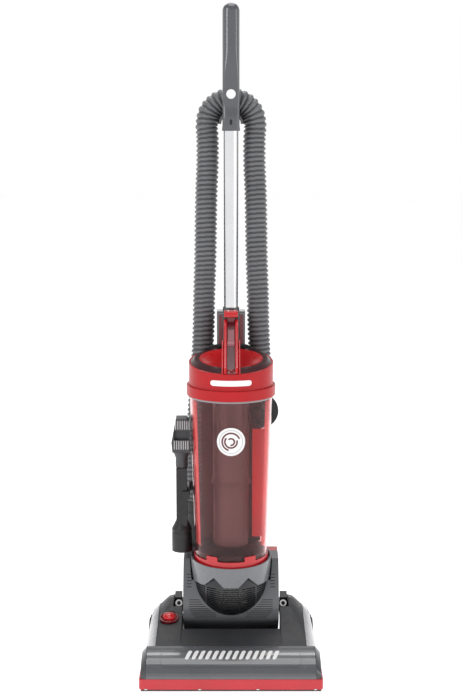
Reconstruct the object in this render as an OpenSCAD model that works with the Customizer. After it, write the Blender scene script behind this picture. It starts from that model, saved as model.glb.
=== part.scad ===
// Bagless upright vacuum cleaner: a low powered nozzle head, a reclining upright body with a
// clear dust bin, and a stretch hose parked over a hook behind the long handle.
// Millimetres. +X is the viewer's right, -Y is the front, +Z is up, and Z = 0 is the floor.

/* [Nozzle head] */
// Width across the front bumper
head_w = 288; // [284:1:292]
// Height of the visor where it meets the deck
visor_top = 53; // [52:0.5:54]
// Radius of the bristle tips
bristle_r = 21; // [20:0.5:21.5]

/* [Upright body] */
// Radius of the motor barrel round the recline pivot
barrel_r = 50; // [49:0.5:51]
// Radius of the bin at its top edge
bin_top_r = 67.3; // [66:0.1:67.5]
// Radius of the bin at its bottom edge
bin_low_r = 59.6; // [58.5:0.1:60]
// Outside radius of the stretch hose
hose_r = 19; // [18:0.5:19]

/* [Handle] */
// Height of the top of the handle
total_h = 1068; // [1050:1:1080]
// Outside radius of the steel tube
tube_r = 12; // [11.5:0.1:12]
// Width of the hand grip
grip_w = 28; // [27:0.5:30]

/* [Hidden] */
$fn = 64;

wall = 2.5;
gap = 0.4;
run_fit = 0.05;
far = 400;

// Nozzle head
nose_y = -150;
visor_back = -95;
visor_depth = 54;
bumper_h = 20;
sole_t = 3;
floor_top = 6.5;
mouth = [[-116, -144], [97, -92]];
chamber_back = -92;
deck_edge_x = 121;
skirt_x = 136.5;
well_x = 81.5;
well_front = -33;
brush_y = -122;
brush_z = 22;
brush_core_r = 14;
belt_x = [100.5, 106.5];
belt_t = 2;

// Recline pivot, wheels and motor
pivot_y = 66;
pivot_z = 64;
trunnion_r = 12;
trunnion_bore = 9.5;
clamp_x = [83.5, 95.5];
clamp_y = [50, 82];
wheel_y = 56;
wheel_r = 22;
wheel_z = wheel_r;
rim_r = wheel_r - 6;
axle_r = 4;
motor_r = 38;
pulley_r = 5.1;
roller_y = -76;
roller_r = 9;
pedal_axis = [92, 28];

// Height knob
knob_pos = [-102, -10, 67];
knob_tilt = 12;

// Upright body
bin_y = 20;
bin_z = [173, 445];
bin_back = 74;
door_z = 160.8;
yoke_x = 79;
yoke_top = 160;
yoke_split = 84;
yoke_back = 116;
ball_z = 126;
ball_r = 62;
cup_z = [131, 168];
cup_r = [64.6, 67.5];
seat_z = 160.5;
spine_x = 24;
panel_x = 37;
panel_y = [78, 82];
spine_back_y = 108;
spine_top = 505;
inlet_x = 50;
inlet_z = 399;
lid_z = 494;
lid_tilt = 8;
lid_back = 77;
dish_r = 51.5;
dish_rise = 5.5;
rebate_r = 65.5;
tube_y = 95;
socket_top = 567;
tool_x = -81.5;
tool_y = 34;
port_pos = [-58, 106];
upper_hook_z = 440;
lower_hook_z = 215;
hook_arm_y = 126;
rear_y = 150;
gland_pos = [45, 130];
arch_z = 874;

// Centre line of the parked hose, from the lower port up over the hook to the bin's elbow
hose_route = [
    [-58, 106, 215], [-58, 106, 260], [-58, 106, 305], [-57, 106, 350], [-55, 106, 400],
    [-51, 106, 450], [-48, 106, 495], [-46, 106, 540], [-45, 108, 590], [-43, 111, 650],
    [-42, 115, 710], [-41, 119, 760], [-39, 123, 810], [-39, 125, 850], [-40, 125, 874],
    [-35, 125, 894], [-20, 125, 909], [0, 125, 914], [20, 125, 909], [35, 125, 894],
    [40, 125, 874], [39, 125, 850], [39, 123, 810], [41, 119, 760], [42, 115, 710],
    [43, 111, 650], [45, 108, 590], [46, 106, 540], [48, 106, 495], [50, 106, 465],
    [50, 106, 440]
];

// ---------- helpers ----------

module box(lo, hi) translate(lo) cube(hi - lo);

module along_x(x0, x1) translate([x0, 0, 0]) rotate([90, 0, 90]) linear_extrude(x1 - x0) children();

module along_y(y0, y1) translate([0, y1, 0]) rotate([90, 0, 0]) linear_extrude(y1 - y0) children();

module rod_x(x0, x1, r, y, z) translate([x0, y, z]) rotate([0, 90, 0]) cylinder(h = x1 - x0, r = r);

module rod_y(y0, y1, r, x, z) translate([x, y1, z]) rotate([90, 0, 0]) cylinder(h = y1 - y0, r = r);

module both_sides() {
    children();
    mirror([1, 0, 0]) children();
}

// Points of an elliptical quarter from straight up round to straight forward (-Y)
function quarter(y, z, a, b, steps = 12) =
    [for (i = [0 : steps]) [y - a * sin(90 * i / steps), z + b * cos(90 * i / steps)]];

function reversed(list) = [for (i = [len(list) - 1 : -1 : 0]) list[i]];

// Upright cylinder or cone on the bin's axis with a flat back
module d_solid(z0, z1, r0, r1, back) {
    intersection() {
        translate([0, bin_y, z0]) cylinder(h = z1 - z0, r1 = r0, r2 = r1);
        box([-far, -far, z0 - 1], [far, back, z1 + 1]);
    }
}

// Frame on the sloping lid top, +Z square to it
module lid_frame() translate([0, bin_y, lid_z]) rotate([lid_tilt, 0, 0]) children();

// Everything above the plane that the sloping lid top lies in, moved up by rise
module above_lid_plane(rise = 0) lid_frame() translate([-far / 2, -far / 2, rise]) cube(far);

// Unit direction of the route at point i
function heading(p, i) =
    let (d = p[min(i + 1, len(p) - 1)] - p[max(i - 1, 0)]) d / norm(d);

// One ring of points round the route. Its first axis lies across the route and the Y axis.
function ring(p, i, r, sides) =
    let (t = heading(p, i), u = cross(t, [0, 1, 0]), a = u / norm(u), b = cross(t, a))
    [for (k = [0 : sides - 1]) p[i] + r * (cos(360 * k / sides) * a + sin(360 * k / sides) * b)];

// A hollow tube swept along a route as one closed polyhedron
module swept_tube(p, r, r_in, sides) {
    n = len(p);
    rings = concat([for (i = [0 : n - 1]) each ring(p, i, r, sides)],
        [for (i = [0 : n - 1]) each ring(p, i, r_in, sides)]);
    function at(shell, i, k) = (shell * n + i) * sides + k % sides;
    skin = [for (i = [0 : n - 2]) for (k = [0 : sides - 1]) each [
        [at(0, i, k), at(0, i + 1, k), at(0, i + 1, k + 1)],
        [at(0, i, k), at(0, i + 1, k + 1), at(0, i, k + 1)],
        [at(1, i, k), at(1, i + 1, k + 1), at(1, i + 1, k)],
        [at(1, i, k), at(1, i, k + 1), at(1, i + 1, k + 1)]
    ]];
    ends = [for (k = [0 : sides - 1]) each [
        [at(0, 0, k), at(0, 0, k + 1), at(1, 0, k + 1)],
        [at(0, 0, k), at(1, 0, k + 1), at(1, 0, k)],
        [at(0, n - 1, k), at(1, n - 1, k + 1), at(0, n - 1, k + 1)],
        [at(0, n - 1, k), at(1, n - 1, k), at(1, n - 1, k + 1)]
    ]];
    polyhedron(rings, concat(skin, ends));
}

// ---------- nozzle head, fixed pieces ----------

// Lower tray: floor, side walls, brush chamber, pivot towers and pedal ears
module base_chassis() {
    color("dimgray") difference() {
        union() {
            box([-128, chamber_back, sole_t], [128, 97, floor_top]);
            both_sides() {
                box([114, chamber_back, sole_t], [117, 86, 36]);
                rod_x(113.5, 118, 9, wheel_y, wheel_z);
                box([clamp_x[0], clamp_y[0], sole_t], [clamp_x[1], clamp_y[1], pivot_z - 0.1]);
            }
            box([-117, chamber_back, sole_t], [117, chamber_back + 3, 46]);
            chamber_side(-123);
            chamber_side(115);
            box([-117, 86, sole_t], [-114, 97, 36]);
            box([-85, 81, sole_t], [-82, 97, 36]);
        }
        both_sides() {
            box([117.5, wheel_y - wheel_r - 4, -1], [far, wheel_y + wheel_r + 4, 60]);
            rod_x(113, 119, axle_r, wheel_y, wheel_z);
        }
        rod_x(-97, 97, trunnion_r + run_fit, pivot_y, pivot_z);
        rod_x(-118, -81, 3 + run_fit, pedal_axis[0], pedal_axis[1]);
        box([-60, roller_y - 11, -1], [60, roller_y + 11, 10]);
        box([-112, chamber_back - 1, 15], [-100.5, chamber_back + 4, 45]);
        box([belt_x[0] - 2, chamber_back - 1, 8], [belt_x[1] + 2, chamber_back + 4, 60]);
        for (p = screw_places) translate([p[0], p[1], 0]) cylinder(h = 10, r = 1.8);
    }
}

screw_places = [[-92, -45], [92, -45], [-92, 20], [92, 20], [0, -50]];

// Cheek plate at one end of the brush chamber
module chamber_side(x) {
    along_x(x, x + 3) polygon(concat([[chamber_back, sole_t], [chamber_back, visor_top - 5]],
        quarter(visor_back, bumper_h, visor_depth - 4, visor_top - bumper_h - 5), [[-145, sole_t]]));
}

// One cross-section of the right shoulder, as a thin slice
module shoulder_slice(y, pts) along_y(y - 0.05, y + 0.05) polygon(pts);

// Outline of the right shoulder at one station: bowed side, deck edge, hump and flat top, drawn in
// by inset
function shoulder_pts(edge, hump, top, inset) = [
    [well_x + inset, 8 - inset * 4], [skirt_x - inset, 8 - inset * 4], [skirt_x - inset, 36],
    [skirt_x - 6 - inset, edge - 9 - inset / 2], [deck_edge_x - inset, edge - inset],
    [106, hump - inset], [96, top - inset], [well_x + inset, top - inset]
];

module right_shoulder(inset) {
    hull() {
        shoulder_slice(visor_back + 0.5 + inset, shoulder_pts(visor_top, visor_top, visor_top, inset));
        shoulder_slice(-20, shoulder_pts(60, 63.5, 64, inset));
    }
    hull() {
        shoulder_slice(-20.1, shoulder_pts(60, 63.5, 64, inset));
        shoulder_slice(20, shoulder_pts(67, 79, 82, inset));
        shoulder_slice(48, shoulder_pts(67, 80, 84, inset));
        shoulder_slice(86, shoulder_pts(58, 72, 75, inset));
    }
}

// Upper shell of the head, open in the middle for the yoke, with an arch over each wheel
module base_cover() {
    notch_y = 14;
    arch_outer = wheel_r + 3.4;
    color("#47484b") {
        difference() {
            both_sides() difference() {
                right_shoulder(0);
                right_shoulder(wall);
                box([0, notch_y, -50], [96.5, 130, 120]);
                rod_x(117.5, 150, arch_outer - 1, wheel_y, wheel_z);
                box([0, visor_back - 1, 0], [124, chamber_back + 3.5, 49]);
            }
            knob_frame() translate([0, 0, -25]) cylinder(h = 40, r = 15.8);
        }
        both_sides() difference() {
            intersection() {
                right_shoulder(0);
                box([96.5, notch_y, 8], [99, 86, 120]);
            }
            rod_x(96, 100, trunnion_r + 1, pivot_y, pivot_z);
        }
        both_sides() box([well_x, notch_y - wall, 57.5], [97, 49, 60]);
        both_sides() intersection() {
            right_shoulder(0);
            box([well_x, notch_y - wall, 58], [97, notch_y, 120]);
        }
        both_sides() difference() {
            rod_x(117.5, 136.5, arch_outer, wheel_y, wheel_z);
            rod_x(117, 137, arch_outer - 2.2, wheel_y, wheel_z);
            box([100, -far, -far], [far, far, 12]);
        }
        along_x(-well_x - 1, well_x + 1) polygon([[visor_back + 0.5, visor_top - wall],
            [visor_back + 0.5, visor_top], [well_front, 58], [well_front, 42], [well_front - wall, 42],
            [well_front - wall, 58 - wall]]);
    }
}

// Quarter-round front hood over the brush
module nozzle_visor() {
    color("#75767a") along_x(-133, 133) polygon(concat(
        quarter(visor_back, bumper_h, visor_depth, visor_top - bumper_h),
        reversed(quarter(visor_back, bumper_h, visor_depth - wall, visor_top - bumper_h - wall))));
}

// Rounded caps that close the hood's two ends
module nozzle_end_caps() {
    color("#505155") both_sides() hull() {
        along_x(133.1, 134) polygon(concat([[visor_back, bumper_h]],
            quarter(visor_back, bumper_h, visor_depth, visor_top - bumper_h)));
        along_x(141, 141.5) polygon(concat([[visor_back, bumper_h]],
            quarter(visor_back, bumper_h, visor_depth - 3, visor_top - bumper_h - 9)));
    }
}

// Soft furniture guard round the front of the nozzle
module front_bumper() {
    r = 6;
    t = 3.5;
    color("#c8242c") translate([0, 0, sole_t]) linear_extrude(bumper_h - sole_t) difference() {
        union() {
            translate([-head_w / 2, nose_y + r]) square([head_w, 50 - r]);
            translate([-head_w / 2 + r, nose_y]) square([head_w - 2 * r, r + 1]);
            for (s = [-1, 1]) translate([s * (head_w / 2 - r), nose_y + r]) circle(r);
        }
        translate([-head_w / 2 + t, nose_y + t]) square([head_w - 2 * t, 60]);
    }
}

// Black sole with the suction mouth
module sole_plate() {
    color("#202022") difference() {
        box([-141, nose_y + 2, 0], [141, chamber_back + 4, sole_t]);
        box([mouth[0][0], mouth[0][1], -1], [mouth[1][0], mouth[1][1], 10]);
    }
}

// Upper halves of the recline bearings, each with a screw boss in front
module pivot_clamps() {
    color("#262628") both_sides() difference() {
        union() {
            box([clamp_x[0], clamp_y[0], pivot_z + 0.1], [clamp_x[1], clamp_y[1], 82]);
            clamp_boss() cylinder(h = 9, r = 6.5);
        }
        rod_x(80, 99, trunnion_r + run_fit, pivot_y, pivot_z);
        clamp_boss() translate([0, 0, 3]) cylinder(h = 10, r = 2);
    }
}

// Frame on a clamp's front face, +Z pointing forward and up
module clamp_boss() translate([88, 51, 71.5]) rotate([70, 0, 0]) children();

module pivot_screws() {
    color("silver") both_sides() clamp_boss() difference() {
        union() {
            translate([0, 0, 9]) cylinder(h = 2.5, r = 5.8);
            translate([0, 0, 4]) cylinder(h = 6, r = 2);
        }
        translate([0, 0, 10]) cylinder(h = 3, r = 2.6, $fn = 6);
    }
}

module wheel_axles() {
    color("silver") both_sides() rod_x(113.5, 138, axle_r, wheel_y, wheel_z);
}

// Flat belt from the motor pulley to the brush
module drive_belt() {
    color("#1b1b1b") along_x(belt_x[0], belt_x[1]) difference() {
        belt_loop(belt_t + 0.3);
        belt_loop(0.3);
    }
}

module belt_loop(grow) {
    hull() {
        translate([pivot_y, pivot_z]) circle(pulley_r + grow, $fn = 40);
        translate([brush_y, brush_z]) circle(brush_core_r - 0.5 + grow, $fn = 48);
    }
}

// Air duct from the brush chamber back to the left trunnion
module suction_duct() {
    t = 1.5;
    top = 68;
    color("#3a3a3d") difference() {
        union() {
            box([-113, chamber_back + 3, 13], [-99.5, 54, 47]);
            box([-108, 52, 13], [-99.5, 80, top]);
        }
        box([-113 + t, chamber_back + 2, 13 + t], [-99.5 - t, 54 - t, 47 - t]);
        box([-108 + t, 50, 13 + t], [-99.5 - t, 80 - t, top - t]);
        intersection() {
            rod_x(-102, -99, trunnion_bore, pivot_y, pivot_z);
            box([-far, -far, 0], [0, far, top - t]);
        }
    }
}

module base_screws() {
    color("silver") for (p = screw_places) translate([p[0], p[1], 0]) difference() {
        union() {
            translate([0, 0, 1.2]) cylinder(h = 1.8, r = 3.5);
            translate([0, 0, 2]) cylinder(h = 10, r = 1.7);
        }
        translate([0, 0, 1]) cylinder(h = 1.2, r = 1.4, $fn = 6);
    }
}

// Frame on the left shoulder, +Z square to the deck
module knob_frame() translate(knob_pos) rotate([knob_tilt, 0, 0]) children();

module knob_bezel() {
    color("#8a1218") knob_frame() difference() {
        union() {
            translate([0, 0, 1]) cylinder(h = 2.5, r = 15.5);
            translate([0, 0, -7]) cylinder(h = 8, r = 12.7);
        }
        translate([0, 0, 1]) cylinder(h = 3, r1 = 11, r2 = 14.3);
        translate([0, 0, -8]) cylinder(h = 12, r = 5 + run_fit);
    }
}

// Bearing ring at each end of the brush
module brush_bearings() {
    color("silver") for (x = [-119.8, 111]) difference() {
        rod_x(x, x + 3.8, 9, brush_y, brush_z);
        rod_x(x - 1, x + 5, axle_r + run_fit, brush_y, brush_z);
    }
}

// ---------- nozzle head, moving pieces ----------

module height_knob() {
    color("#d01f28") knob_frame() {
        translate([0, 0, -13]) cylinder(h = 16, r = 5);
        translate([0, 0, 1.4]) cylinder(h = 4, r = 10.3);
        intersection() {
            translate([0, 0, 5.2]) cylinder(h = 6, r = 10.3);
            translate([0, 0, -8]) sphere(r = 17.3);
        }
    }
}

// Frame that lowers the front rollers to lift the nozzle
module roller_carriage() {
    color("#303033") difference() {
        union() {
            box([-58, roller_y - 8, 19], [58, roller_y + 8, 23]);
            for (x = [-58, -38, 35, 55]) box([x, roller_y - 4, 5], [x + 3, roller_y + 4, 20]);
        }
        rod_x(-60, 60, 2.5 + run_fit, roller_y, roller_r);
    }
}

module front_rollers() {
    color("#1c1c1e") {
        rod_x(-57.5, 57.5, 2.5, roller_y, roller_r);
        for (x = [-54, 39]) rod_x(x, x + 15, roller_r, roller_y, roller_r);
    }
}

// Wheel disc, right-hand side
module wheel_disc() {
    difference() {
        union() {
            rod_x(121, 137, rim_r - 0.1, wheel_y, wheel_z);
            rod_x(119.5, 138.5, 8, wheel_y, wheel_z);
        }
        rod_x(118, 138, axle_r + run_fit, wheel_y, wheel_z);
        difference() {
            rod_x(134, 140, rim_r - 3, wheel_y, wheel_z);
            rod_x(130, 141, 9, wheel_y, wheel_z);
        }
    }
}

module wheel_tyre() {
    difference() {
        rod_x(119, 139, wheel_r, wheel_y, wheel_z);
        rod_x(118, 140, rim_r, wheel_y, wheel_z);
    }
}

module left_wheel() color("#3a3a3c") mirror([1, 0, 0]) wheel_disc();
module right_wheel() color("#3a3a3c") wheel_disc();
module left_tyre() color("#161617") mirror([1, 0, 0]) wheel_tyre();
module right_tyre() color("#161617") wheel_tyre();

// Core of the rotating brush, with its journals and belt pulley
module brush_roll() {
    color("#5c1418") {
        rod_x(-115, belt_x[0], brush_core_r, brush_y, brush_z);
        rod_x(-119.5, -114, axle_r, brush_y, brush_z);
        rod_x(99, 114.5, axle_r, brush_y, brush_z);
        rod_x(99.5, belt_x[1] + 1, brush_core_r - 0.5, brush_y, brush_z);
        for (x = [belt_x[0] - 1.4, belt_x[1] + 0.4]) rod_x(x, x + 1, brush_core_r + 3, brush_y, brush_z);
    }
}

// Two spiral rows of tufts
module brush_bristles() {
    tufts = 19;
    root_r = brush_core_r - 0.5;
    color("#18181a") for (i = [0 : tufts - 1]) for (side = [0, 180]) {
        translate([-108 + i * 11, brush_y, brush_z]) rotate([side + i * 360 / tufts, 0, 0])
            translate([0, 0, root_r]) cylinder(h = bristle_r - root_r, r = 2.4, $fn = 12);
    }
}

// Foot pedal that frees the upright
module recline_pedal() {
    color("#55565a") {
        rod_x(-116.8, -82.3, 3, pedal_axis[0], pedal_axis[1]);
        box([-113, pedal_axis[0] - 3, pedal_axis[1] - 3], [-86, 128, pedal_axis[1] + 3]);
    }
}

// ---------- upright body ----------

// Side outline of the motor housing, drawn in by inset
function yoke_outline(inset) = concat(
    [[-7 + inset, 60 + inset]],
    [for (a = [-124 : 8 : -4])
        [pivot_y + (barrel_r - inset) * cos(a), pivot_z + (barrel_r - inset) * sin(a)]],
    [[yoke_back - inset, pivot_z], [yoke_back - inset, yoke_top - inset], [22 + inset, yoke_top - inset],
     [7 + inset, 142], [-3 + inset, 123], [-11 + inset, 104], [-15 + inset, 86], [-14 + inset, 70]]);

// Hollow motor housing between two planes across Y
module yoke_hollow(y0, y1) {
    intersection() {
        difference() {
            along_x(-yoke_x, yoke_x) polygon(yoke_outline(0));
            along_x(-yoke_x + 3, yoke_x - 3) polygon(yoke_outline(3));
        }
        box([-far, y0, -far], [far, y1, far]);
    }
}

// Pocket in the right rear of the housing for the power pedal
module pedal_pocket() box([60, 64, 126], [yoke_x + 1, 108, yoke_top + 1]);

// Front of the motor housing, with the two hollow trunnions it reclines on
module yoke_shell() {
    color("#6a6b6f") difference() {
        union() {
            yoke_hollow(-far, yoke_split);
            both_sides() rod_x(yoke_x - 3, 97, trunnion_r, pivot_y, pivot_z);
            intersection() {
                along_x(-49, 60) polygon(yoke_outline(2));
                union() {
                    box([-49, -far, 0], [-47, yoke_split, 118]);
                    for (x = [-32, 29]) box([x, 20, 0], [x + 3, yoke_split, pivot_z]);
                }
            }
            box([60, 64, 123], [yoke_x - 1, yoke_split, 126]);
            box([57.5, 64, 123], [60, yoke_split, yoke_top - 1]);
            box([57.5, 61.5, 123], [yoke_x - 1, 64, yoke_top - 1]);
        }
        d_solid(129.5, 200, 68, 68, panel_y[0]);
        translate([0, bin_y, ball_z]) sphere(r = ball_r + 0.2);
        rod_x(-98, 98, trunnion_bore, pivot_y, pivot_z);
        rod_x(-45, 47, motor_r + 0.1, pivot_y, pivot_z);
        pedal_pocket();
        box([yoke_x - 4, 64, 133], [far, far, far]);
    }
}

// Rear of the motor housing
module yoke_rear_cover() {
    color("#5f6064") difference() {
        union() {
            yoke_hollow(yoke_split + gap, far);
            box([60, yoke_split + gap, 123], [yoke_x - 1, yoke_back - 1, 126]);
            box([57.5, yoke_split + gap, 123], [60, yoke_back - 1, yoke_top - 1]);
        }
        translate([port_pos[0], port_pos[1] - 5, yoke_top - 5]) cylinder(h = 10, r = 14);
        rod_y(100, 120, 6.6, gland_pos[0], gland_pos[1]);
        box([60, 64, 126], [yoke_x + 1, yoke_back - 3, yoke_top + 1]);
        box([60, 64, 133], [far, far, far]);
    }
}

// Satin cup that the bin stands in, with its scalloped lower edge
module motor_cup() {
    color("#85878b") difference() {
        d_solid(cup_z[0], cup_z[1] + 6, cup_r[0], cup_r[1], lid_back);
        difference() {
            d_solid(cup_z[0] - 1, cup_z[1] + 8, cup_r[0] - 2.3, cup_r[1] - 2.3, lid_back - 2.3);
            d_solid(seat_z - 3, seat_z, 70, 70, lid_back);
        }
        translate([0, bin_y, cup_z[1]]) rotate([3.5, 0, 0]) translate([-far / 2, -far / 2, 0]) cube(far);
        for (x = [-28, 28]) along_y(-60, 0)
            polygon([[x - 17, cup_z[0] - 1], [x, 147], [x + 17, cup_z[0] - 1]]);
    }
}

// Slotted bowl that the exhaust air leaves by
module exhaust_grille() {
    rib_x = [-58, -41, -14.5, 14.5, 41, 58];
    slot_pitch = 3.6;
    color("#333437") difference() {
        translate([0, bin_y, ball_z]) sphere(r = ball_r);
        translate([0, bin_y, ball_z]) sphere(r = ball_r - 2.4);
        box([-far, 4, 0], [far, far, far]);
        box([-far, -far, 148], [far, far, far]);
        for (z = [76 : slot_pitch : 127]) for (i = [0 : len(rib_x) - 2])
            box([rib_x[i] + 1.3, -far, z], [rib_x[i + 1] - 1.3, 0, z + 1.7]);
    }
}

module exhaust_filter() {
    color("#e8e6dc") box([-26, -16, 94], [26, -6, 124]);
}

// Motor case with a shaft bearing in each end
module motor_can() {
    color("#8d8f92") difference() {
        rod_x(-44, 46, motor_r, pivot_y, pivot_z);
        rod_x(-41.5, 43.5, motor_r - wall, pivot_y, pivot_z);
        rod_x(-50, 50, axle_r + run_fit, pivot_y, pivot_z);
    }
}

// Front panel of the spine, right behind the bin
module spine_front() {
    r = 14;
    top = 512;
    color("#232325") difference() {
        along_y(panel_y[0], panel_y[1]) union() {
            translate([-panel_x, yoke_top]) square([2 * panel_x, top - r - yoke_top]);
            translate([-panel_x + r, yoke_top]) square([2 * panel_x - 2 * r, top - yoke_top]);
            for (s = [-1, 1]) translate([s * (panel_x - r), top - r]) circle(r);
        }
        rod_y(70, 90, 30, inlet_x, inlet_z);
        box([-14, 70, 470], [14, 90, 495]);
    }
}

// Rear half of the spine, a channel that carries the cleaned air down to the motor
module spine_back() {
    color("#4c4d51") difference() {
        union() {
            box([-spine_x, panel_y[1], yoke_top], [spine_x, spine_back_y, spine_top]);
            rod_y(spine_back_y - 1, 121, axle_r, 0, upper_hook_z);
        }
        box([-spine_x + wall, panel_y[1] - 1, yoke_top + 3],
            [spine_x - wall, spine_back_y - wall, spine_top - 3]);
        box([-14, 88, yoke_top - 1], [14, 104, yoke_top + 5]);
    }
}

// Block on top of the spine that holds the steel tube
module socket_block() {
    color("#3c3e42") difference() {
        union() {
            box([-23.5, panel_y[1] + 0.3, spine_top], [23.5, spine_back_y, socket_top]);
            translate([0, tube_y, socket_top - 1]) cylinder(h = 7, r = 13.9);
        }
        translate([0, tube_y, 520]) cylinder(h = 100, r = tube_r + run_fit);
    }
}

// Fitting that joins the lower end of the hose to the suction chamber
module hose_port() {
    color("#1f1f21") translate([port_pos[0], port_pos[1], yoke_top]) difference() {
        cylinder(h = 55, r = 20);
        translate([0, 0, -1]) cylinder(h = 60, r = 16);
    }
}

module hose() {
    color("#6e7073") swept_tube(hose_route, hose_r, hose_r - 2.5, 12);
}

// Black elbow from the hose into the bin's inlet
module hose_elbow() {
    bend_r = 24;
    mouth_y = 77.2;
    bend_y = mouth_y + 4.6;
    bend_z = inlet_z + bend_r;
    color("#1a1a1c") {
        difference() {
            rod_y(mouth_y, bend_y, 29.5, inlet_x, inlet_z);
            rod_y(mouth_y - 1, bend_y + 1, 16, inlet_x, inlet_z);
        }
        translate([inlet_x, bend_y, bend_z]) rotate([0, 90, 0])
            rotate_extrude(angle = 90) translate([bend_r, 0]) elbow_section();
        translate([inlet_x, bend_y + bend_r, bend_z]) linear_extrude(440 - bend_z) elbow_section();
    }
}

module elbow_section() {
    difference() {
        circle(20);
        circle(16);
    }
}

module tube() {
    color("#d8dadd") translate([0, tube_y, 520]) difference() {
        cylinder(h = 365, r = tube_r);
        translate([0, 0, -1]) cylinder(h = 370, r = tube_r - 1.2);
    }
}

// Centre of the grip in side view: upright at the foot, leaning back towards the top
function grip_centre(z) = let (t = max(0, (z - 930) / (total_h - 930))) tube_y + 8 * t * t * (3 - 2 * t);

// Half depth of the grip: slim at the hook, fuller in the hand, round at the top
function grip_half(z) =
    let (t = max(0, min(1, (z - 930) / 60)), top = total_h - z, swell = 10.5 + 2 * t * t * (3 - 2 * t))
    top < swell ? sqrt(max(0, swell * swell - (swell - top) * (swell - top))) : swell;

// Hand grip with the collar for the tube and the hook that the hose hangs over
module handle_grip() {
    stations = concat([for (z = [886 : 14 : total_h - 14]) z], [for (d = [10, 7, 4, 2, 1, 0]) total_h - d]);
    hook_end = 144.5;
    color("#3b3d41") difference() {
        union() {
            intersection() {
                along_x(-grip_w / 2, grip_w / 2) polygon(concat(
                    [for (z = stations) [grip_centre(z) - grip_half(z), z]],
                    reversed([for (z = stations) [grip_centre(z) + grip_half(z), z]])));
                along_y(0, rear_y) union() {
                    translate([-grip_w / 2, 880]) square([grip_w, total_h - grip_w / 2 - 880]);
                    translate([0, total_h - grip_w / 2]) circle(grip_w / 2);
                }
            }
            translate([0, tube_y, 863]) cylinder(h = 30, r = 14.5);
            difference() {
                union() {
                    rod_y(104, hook_end, 20, 0, arch_z);
                    rod_y(hook_end, hook_end + 4, 28, 0, arch_z);
                }
                rod_y(100, rear_y + 1, 16, 0, arch_z);
                box([-far, 0, 800], [far, far, arch_z]);
            }
        }
        translate([0, tube_y, 860]) cylinder(h = 26, r = tube_r + run_fit);
    }
}

// Arm and lip of a cord hook whose arm points up, its hub on the Y axis
module hook_arm() {
    along_y(hook_arm_y, hook_arm_y + 5) union() {
        circle(9);
        translate([-8, 0]) square([16, 40]);
    }
    box([-8, hook_arm_y, 34], [8, rear_y, 40]);
}

module lower_cord_hook() {
    color("#2a2a2c") translate([0, 0, lower_hook_z]) rotate([0, 180, 0]) {
        rod_y(spine_back_y, hook_arm_y + 1, 9, 0, 0);
        hook_arm();
    }
}

module power_switch() {
    color("#2e2e30") {
        box([63, 72, 126], [76, 88, 131.5]);
        box([67, 77, 131], [72, 83, 133.2]);
    }
}

// Bushing for the mains lead, low on the back
module cord_gland() {
    color("#1a1a1c") difference() {
        union() {
            rod_y(112, 134, 6.5, gland_pos[0], gland_pos[1]);
            rod_y(yoke_back, yoke_back + 2, 9, gland_pos[0], gland_pos[1]);
        }
        rod_y(110, 136, 3.6, gland_pos[0], gland_pos[1]);
    }
}

// Bracket that the two hand tools clip into
module tool_clip() {
    z = [262, 276];
    arm_x = [-71.5, -68.5];
    color("#1f1f21") {
        box([arm_x[0], panel_y[0], z[0]], [-panel_x, panel_y[1], z[1]]);
        box([arm_x[0], tool_y - 12, z[0]], [arm_x[1], panel_y[1], z[1]]);
        box([-91, tool_y + 12.4, z[0]], [arm_x[1], tool_y + 15.4, z[1]]);
        box([-80, tool_y - 15.4, z[0]], [arm_x[1], tool_y - 12.4, z[1]]);
        box([arm_x[0], tool_y - 15.4, z[0]], [arm_x[1], tool_y, z[1]]);
    }
}

// Return spring under the power pedal
module pedal_spring() {
    turns = 4;
    steps = 10;
    coil = [for (i = [0 : turns * steps])
        [3.6 * cos(360 * i / steps), 3.6 * sin(360 * i / steps), 0.6 + i * 9.6 / (turns * steps)]];
    color("silver") translate([70, 98, 126]) wire(coil, 0.5, 6);
}

// A solid wire swept along a coil as one closed polyhedron
module wire(p, r, sides) {
    n = len(p);
    pts = [for (i = [0 : n - 1]) each wire_ring(p, i, r, sides)];
    skin = [for (i = [0 : n - 2]) for (k = [0 : sides - 1]) each [
        [i * sides + k, (i + 1) * sides + k, (i + 1) * sides + (k + 1) % sides],
        [i * sides + k, (i + 1) * sides + (k + 1) % sides, i * sides + (k + 1) % sides]
    ]];
    ends = [[for (k = [0 : sides - 1]) k], [for (k = [sides - 1 : -1 : 0]) (n - 1) * sides + k]];
    polyhedron(pts, concat(skin, ends));
}

function wire_ring(p, i, r, sides) =
    let (t = heading(p, i), u = cross(t, [0, 0, 1]), a = u / norm(u), b = cross(t, a))
    [for (k = [0 : sides - 1]) p[i] + r * (cos(360 * k / sides) * a + sin(360 * k / sides) * b)];

// ---------- motor ----------

module motor_armature() {
    color("#b8793a") {
        rod_x(-46, belt_x[1] + 2.2, axle_r, pivot_y, pivot_z);
        rod_x(-14, 26, 22, pivot_y, pivot_z);
        rod_x(28, 38, 11, pivot_y, pivot_z);
    }
}

module motor_fan() {
    color("#c9c9c4") difference() {
        union() {
            rod_x(-39, -37, 33, pivot_y, pivot_z);
            rod_x(-38, -22, 9, pivot_y, pivot_z);
            for (a = [0 : 36 : 324]) translate([-37.5, pivot_y, pivot_z]) rotate([a, 0, 0])
                translate([0, -0.8, 8]) cube([9, 1.6, 24]);
        }
        rod_x(-45, -20, axle_r, pivot_y, pivot_z);
    }
}

module motor_pulley() {
    color("#8f9194") difference() {
        union() {
            rod_x(belt_x[0] - 1.4, belt_x[1] + 1.4, pulley_r, pivot_y, pivot_z);
            for (x = [belt_x[0] - 1.4, belt_x[1] + 0.4]) rod_x(x, x + 1, pulley_r + 1.8, pivot_y, pivot_z);
        }
        rod_x(98, 112, axle_r, pivot_y, pivot_z);
    }
}

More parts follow.
